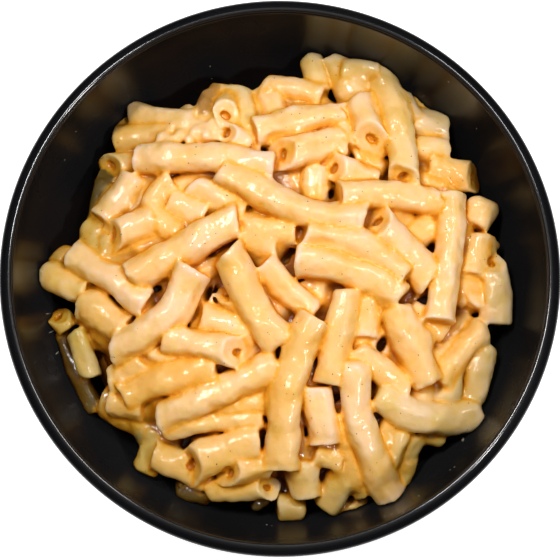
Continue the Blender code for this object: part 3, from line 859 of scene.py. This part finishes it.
def macaroni_material():
    """Cooked pasta under cheese sauce, wet all over: cream on the backs, with painted shade that turns tilted faces,
    crevices, the lowest gaps, bores and the lines where pieces meet orange to dark brown (at those lines partly a sauce
    line), and a dull olive toward the wall that is partly bare pasta and partly painted shade.
    """
    material, tree, shader, node = new_material("macaroni_and_sauce")
    place = node("ShaderNodeTexCoord").outputs["Object"]
    crevice = node("ShaderNodeAttribute", attribute_name="crevice").outputs["Fac"]
    depth = node("ShaderNodeAttribute", attribute_name="depth").outputs["Fac"]
    tint = node("ShaderNodeAttribute", attribute_name="tint").outputs["Fac"]
    broad = node("ShaderNodeTexNoise", {"Vector": place, "Scale": 70.0, "Detail": 3.0}).outputs["Fac"]
    fine = node("ShaderNodeTexNoise", {"Vector": place, "Scale": 420.0, "Detail": 3.0, "Roughness": 0.55}).outputs["Fac"]
    # Painted shade: faces that tilt away from straight up, and points below the nearby tops of the heap, are pushed
    # along the ramp toward dark orange. This stands in for shade on the tubes' flanks and in crevices.
    facing = node("ShaderNodeNewGeometry").outputs["Normal"]
    up = node("ShaderNodeSeparateXYZ", {"Vector": facing}).outputs["Z"]
    side_facing_shade = node("ShaderNodeMapRange", {"Value": up, "From Min": 0.95, "From Max": 0.25}).outputs["Result"]
    low = node("ShaderNodeMapRange", {"Value": crevice, "From Min": -1.6, "From Max": 2.2}).outputs["Result"]
    sauce_and_shade = node("ShaderNodeMath", {0: side_facing_shade, 1: 0.42, 2: low}, operation="MULTIPLY_ADD").outputs[0]
    sauce_and_shade = node("ShaderNodeMath", {0: broad, 1: 0.5, 2: sauce_and_shade}, operation="MULTIPLY_ADD").outputs[0]
    sauce_and_shade = node("ShaderNodeMath", {0: tint, 1: 0.09, 2: sauce_and_shade}, operation="MULTIPLY_ADD").outputs[0]
    # The mark where pieces meet and the bores' mouths adds painted shade, partly a sauce line.
    seam_shade = node("ShaderNodeAttribute", attribute_name="seam_shade").outputs["Fac"]
    seam_shade = node("ShaderNodeMapRange", {"Value": seam_shade, "From Min": 0.6, "From Max": 1.6, "To Max": 0.65}).outputs["Result"]
    sauce_and_shade = node("ShaderNodeMath", {0: sauce_and_shade, 1: seam_shade}, operation="ADD").outputs[0]
    shade = ramp(node("ShaderNodeValToRGB", {"Fac": node("ShaderNodeMath", {0: sauce_and_shade, 1: 0.3}, operation="SUBTRACT").outputs[0]}), (
        (0.0, (0.82, 0.56, 0.38)),
        (0.28, (0.86, 0.53, 0.24)),
        (0.6, (0.86, 0.40, 0.05)),
        (1.0, (0.66, 0.21, 0.003)),
    )).outputs["Color"]
    # Painted shade: points far below the heap's broad top turn dark brown, standing in for shade in the lowest gaps.
    deep_gap_shade = node("ShaderNodeMapRange", {"Value": depth, "From Min": 1.6, "From Max": 5.0}).outputs["Result"]
    mixed = node("ShaderNodeMix", data_type="RGBA")
    tree.links.new(deep_gap_shade, mixed.inputs["Factor"])
    tree.links.new(shade, mixed.inputs[6])
    mixed.inputs[7].default_value = (0.20, 0.045, 0.001, 1)
    # Painted shade toward the wall: the colour is multiplied toward a dull olive the farther a point lies from an axis
    # set 8 mm toward +X and +Y, and the lower its piece sits. This is partly the bare pasta's own olive and partly
    # painted shade from the bowl's wall.
    flat = node("ShaderNodeVectorMath", {0: place, 1: (1, 1, 0)}, operation="MULTIPLY").outputs[0]
    flat = node("ShaderNodeVectorMath", {0: flat, 1: (8 * MM, 8 * MM, 0)}, operation="SUBTRACT").outputs[0]
    from_axis = node("ShaderNodeVectorMath", {0: flat}, operation="LENGTH").outputs["Value"]
    edge = node("ShaderNodeMapRange", {"Value": from_axis, "From Min": 46 * MM, "From Max": 70 * MM, "To Max": 1.1})
    sunk = node("ShaderNodeAttribute", attribute_name="sunk").outputs["Fac"]
    sunk = node("ShaderNodeMapRange", {"Value": sunk, "From Min": 0.5, "From Max": 4.5, "To Min": 0.45, "To Max": 1.5})
    edge = node("ShaderNodeMath", {0: edge.outputs["Result"], 1: sunk.outputs["Result"]}, operation="MULTIPLY")
    edge = node("ShaderNodeMath", {0: broad, 1: 0.5, 2: edge.outputs[0]}, operation="MULTIPLY_ADD").outputs[0]
    edge = node("ShaderNodeMath", {0: edge, 1: 0.25}, operation="SUBTRACT", use_clamp=True).outputs[0]
    wall_edge_shade = node("ShaderNodeMix", data_type="RGBA", blend_type="MULTIPLY")
    tree.links.new(edge, wall_edge_shade.inputs["Factor"])
    tone = node("ShaderNodeAttribute", attribute_name="tone").outputs["Fac"]
    toned = mixed.outputs[2]
    # Tones multiply the colour: y deeper yellow, b bare olive, d near-black as painted shade by the wall, k a dim
    # brown.
    for least, most, colour in ((0, 1, (0.98, 0.91, 0.64, 1)), (0, -1, (0.91, 0.955, 0.86, 1)), (-1, -2, (0.20, 0.19, 0.15, 1)), (1, 2, (0.58, 0.47, 0.36, 1))):
        share = node("ShaderNodeMapRange", {"Value": tone, "From Min": least, "From Max": most}).outputs["Result"]
        made = node("ShaderNodeMix", data_type="RGBA", blend_type="MULTIPLY")
        tree.links.new(share, made.inputs["Factor"])
        tree.links.new(toned, made.inputs[6])
        made.inputs[7].default_value = colour
        toned = made.outputs[2]
    blotch = node("ShaderNodeTexNoise", {"Vector": place, "Scale": 150.0, "Detail": 2.0}).outputs["Fac"]
    blotch = node("ShaderNodeMapRange", {"Value": blotch, "From Min": 0.48, "From Max": 0.62}).outputs["Result"]
    patched = node("ShaderNodeMix", data_type="RGBA", blend_type="MULTIPLY")
    tree.links.new(blotch, patched.inputs["Factor"])
    tree.links.new(toned, patched.inputs[6])
    patched.inputs[7].default_value = (0.95, 0.95, 0.76, 1)
    tree.links.new(patched.outputs[2], wall_edge_shade.inputs[6])
    wall_edge_shade.inputs[7].default_value = (0.60, 0.60, 0.34, 1)
    tree.links.new(wall_edge_shade.outputs[2], shader.inputs["Base Color"])
    rough = node("ShaderNodeMapRange", {"Value": fine, "From Min": 0.35, "From Max": 0.65, "To Min": 0.34, "To Max": 0.5})
    tree.links.new(rough.outputs["Result"], shader.inputs["Roughness"])
    shader.inputs["Subsurface Weight"].default_value = 0.25
    shader.inputs["Subsurface Radius"].default_value = (1.0, 0.45, 0.15)
    shader.inputs["Subsurface Scale"].default_value = 1.8 * MM
    shader.inputs["IOR"].default_value = 1.42
    shader.inputs["Specular IOR Level"].default_value = 0.2
    shader.inputs["Coat Weight"].default_value = 0.52
    shader.inputs["Coat Roughness"].default_value = 0.12
    shader.inputs["Coat IOR"].default_value = 1.45
    grain = node("ShaderNodeTexNoise", {"Vector": place, "Scale": 900.0, "Detail": 2.0}).outputs["Fac"]
    bump = node("ShaderNodeBump", {"Height": fine, "Strength": 0.6, "Distance": 0.35 * MM}).outputs["Normal"]
    tree.links.new(bump, shader.inputs["Normal"])
    ripple = node("ShaderNodeTexNoise", {"Vector": place, "Scale": 620.0, "Detail": 2.0}).outputs["Fac"]
    wet = node("ShaderNodeBump", {"Height": ripple, "Strength": 0.7, "Distance": 0.3 * MM}).outputs["Normal"]
    wet = node("ShaderNodeBump", {"Height": grain, "Strength": 0.7, "Distance": 0.08 * MM, "Normal": wet}).outputs["Normal"]
    tree.links.new(wet, shader.inputs["Coat Normal"])
    return material


def speck_material():
    """Pepper and spice: dark brown to rust."""
    material, tree, shader, node = new_material("pepper")
    place = node("ShaderNodeTexCoord").outputs["Object"]
    kind = node("ShaderNodeTexNoise", {"Vector": place, "Scale": 300.0}).outputs["Fac"]
    shade = ramp(node("ShaderNodeValToRGB", {"Fac": kind}), (
        (0.45, (0.07, 0.035, 0.015)),
        (0.62, (0.35, 0.09, 0.02)),
    )).outputs["Color"]
    tree.links.new(shade, shader.inputs["Base Color"])
    shader.inputs["Roughness"].default_value = 0.5
    return material


def smear_material():
    """Thin, half clear sauce on the wall."""
    material, tree, shader, node = new_material("thin_sauce")
    place = node("ShaderNodeTexCoord").outputs["Object"]
    kind = node("ShaderNodeTexNoise", {"Vector": place, "Scale": 500.0}).outputs["Fac"]
    shade = ramp(node("ShaderNodeValToRGB", {"Fac": kind}), (
        (0.35, (0.05, 0.045, 0.035)),
        (0.65, (0.30, 0.26, 0.19)),
    )).outputs["Color"]
    tree.links.new(shade, shader.inputs["Base Color"])
    shader.inputs["Roughness"].default_value = 0.15
    return material


def core_material():
    """Sauce under the macaroni, coloured a very dark brown as painted shade for the gaps between them."""
    material, tree, shader, node = new_material("sauce_core_painted_shade")
    place = node("ShaderNodeTexCoord").outputs["Object"]
    broad = node("ShaderNodeTexNoise", {"Vector": place, "Scale": 120.0, "Detail": 3.0}).outputs["Fac"]
    shade = ramp(node("ShaderNodeValToRGB", {"Fac": broad}), (
        (0.3, (0.12, 0.035, 0.002)),
        (0.7, (0.25, 0.075, 0.005)),
    )).outputs["Color"]
    tree.links.new(shade, shader.inputs["Base Color"])
    shader.inputs["Roughness"].default_value = 0.55
    shader.inputs["Specular IOR Level"].default_value = 0.1
    return material


def bowl_material():
    """Satin black melamine with faint unevenness in its gloss, and painted shade that dims its colour near the lip."""
    material, tree, shader, node = new_material("bowl_black")
    place = node("ShaderNodeTexCoord").outputs["Object"]
    broad = node("ShaderNodeTexNoise", {"Vector": place, "Scale": 25.0, "Detail": 4.0}).outputs["Fac"]
    rough = node("ShaderNodeMapRange", {"Value": broad, "From Min": 0.3, "From Max": 0.7, "To Min": 0.2, "To Max": 0.3})
    tree.links.new(rough.outputs["Result"], shader.inputs["Roughness"])
    shader.inputs["Specular IOR Level"].default_value = 0.18
    height = node("ShaderNodeSeparateXYZ", {"Vector": place}).outputs["Z"]
    edge = node("ShaderNodeMapRange", {
        "Value": height, "From Min": (BOWL_HEIGHT - 0.6) * MM, "From Max": (BOWL_HEIGHT - 0.25) * MM})
    tree.links.new(edge.outputs["Result"], shader.inputs["Coat Weight"])
    shader.inputs["Coat Roughness"].default_value = 0.08
    shade = ramp(node("ShaderNodeValToRGB", {"Fac": broad}), (
        (0.3, (0.007, 0.0075, 0.008)),
        (0.7, (0.011, 0.011, 0.012)),
    )).outputs["Color"]
    # Painted shade: the base colour is dimmed near the lip so the lip band reads blacker.
    lip = node("ShaderNodeMapRange", {
        "Value": height, "From Min": (BOWL_HEIGHT - 3.0) * MM, "From Max": (BOWL_HEIGHT - 1.0) * MM})
    lip_painted_shade = node("ShaderNodeMix", data_type="RGBA", blend_type="MULTIPLY")
    tree.links.new(lip.outputs["Result"], lip_painted_shade.inputs["Factor"])
    tree.links.new(shade, lip_painted_shade.inputs[6])
    lip_painted_shade.inputs[7].default_value = (0.3, 0.3, 0.33, 1)
    tree.links.new(lip_painted_shade.outputs[2], shader.inputs["Base Color"])
    return material


# ---------------------------------------------------------------- stage, light and camera
TARGET = Vector((0.0, -1.5 * MM, 65.0 * MM))
CAMERA_DISTANCE = 0.6
CAMERA_ELEVATION = math.radians(82.5)
FRAME_WIDTH_AT_TARGET = 165.3 * MM
SENSOR = 36.0
SURROUND = ((0.0, (0.05, 0.05, 0.055)), (0.45, (0.2, 0.2, 0.21)), (0.8, (0.9, 0.9, 0.9)), (1.0, (1, 1, 1)))


def aim(obj, place, target):
    """Puts an object somewhere, looking at the target."""
    obj.location = place
    obj.rotation_euler = (target - Vector(place)).to_track_quat("-Z", "Y").to_euler()
    bpy.context.scene.collection.objects.link(obj)
    return obj


def make_camera():
    """The camera: nearly straight above, leaning a little toward -Y."""
    data = bpy.data.cameras.new("camera")
    data.sensor_width = SENSOR
    data.lens = SENSOR * CAMERA_DISTANCE / FRAME_WIDTH_AT_TARGET
    data.clip_start = 0.01
    lean = Vector((0.0, -math.cos(CAMERA_ELEVATION), math.sin(CAMERA_ELEVATION)))
    bpy.context.scene.camera = aim(bpy.data.objects.new("camera", data), TARGET + lean * CAMERA_DISTANCE, TARGET)


def area_light(name, azimuth, elevation, distance, size, power, colour=(1, 1, 1)):
    """A soft square light that looks at the bowl. Azimuth counts from +X toward +Y."""
    data = bpy.data.lights.new(name, "AREA")
    data.shape = "RECTANGLE"
    data.size, data.size_y = size
    data.energy = power
    data.color = colour
    turn, lift = math.radians(azimuth), math.radians(elevation)
    place = Vector((math.cos(turn) * math.cos(lift), math.sin(turn) * math.cos(lift), math.sin(lift))) * distance
    aim(bpy.data.objects.new(name, data), TARGET + place, TARGET)


def make_stage():
    """A pale floor, soft light from above and an even pale surround."""
    mesh = bpy.data.meshes.new("floor")
    half = 1.5
    mesh.from_pydata([(-half, -half, 0), (half, -half, 0), (half, half, 0), (-half, half, 0)], [], [(0, 1, 2, 3)])
    material, tree, shader, node = new_material("floor_pale")
    shader.inputs["Base Color"].default_value = (0.95, 0.95, 0.95, 1)
    shader.inputs["Roughness"].default_value = 0.9
    shader.inputs["Emission Color"].default_value = (1, 1, 1, 1)
    shader.inputs["Emission Strength"].default_value = 0.6
    floor = add_piece("floor", mesh, material)
    world = bpy.data.worlds.new("surround")
    world.use_nodes = True
    tree = world.node_tree
    place = tree.nodes.new("ShaderNodeTexCoord").outputs["Generated"]
    split = tree.nodes.new("ShaderNodeSeparateXYZ")
    tree.links.new(place, split.inputs["Vector"])
    lift = ramp(tree.nodes.new("ShaderNodeValToRGB"), SURROUND)
    tree.links.new(split.outputs["Z"], lift.inputs["Fac"])
    tree.links.new(lift.outputs["Color"], tree.nodes["Background"].inputs["Color"])
    tree.nodes["Background"].inputs["Strength"].default_value = 0.4
    bpy.context.scene.world = world
    area_light("key", 134, 66, 1.1, (0.36, 0.09), 8)
    area_light("back", 50, 60, 1.1, (0.3, 0.2), 4.0)
    area_light("right", -32, 50, 1.1, (0.12, 0.1), 4.5)


bowl = make_bowl()
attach(bowl, "root")
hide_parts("bowl")

core = make_core()
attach(core, "root")
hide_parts("macaroni")

macaroni = make_macaroni()
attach(macaroni, "root")
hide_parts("macaroni")

specks = make_specks(macaroni)
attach(specks, "root")

smears = make_smears()
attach(smears, "root")

make_stage()
make_camera()
scene = bpy.context.scene
scene.view_settings.view_transform = "Standard"
scene.view_settings.look = "None"
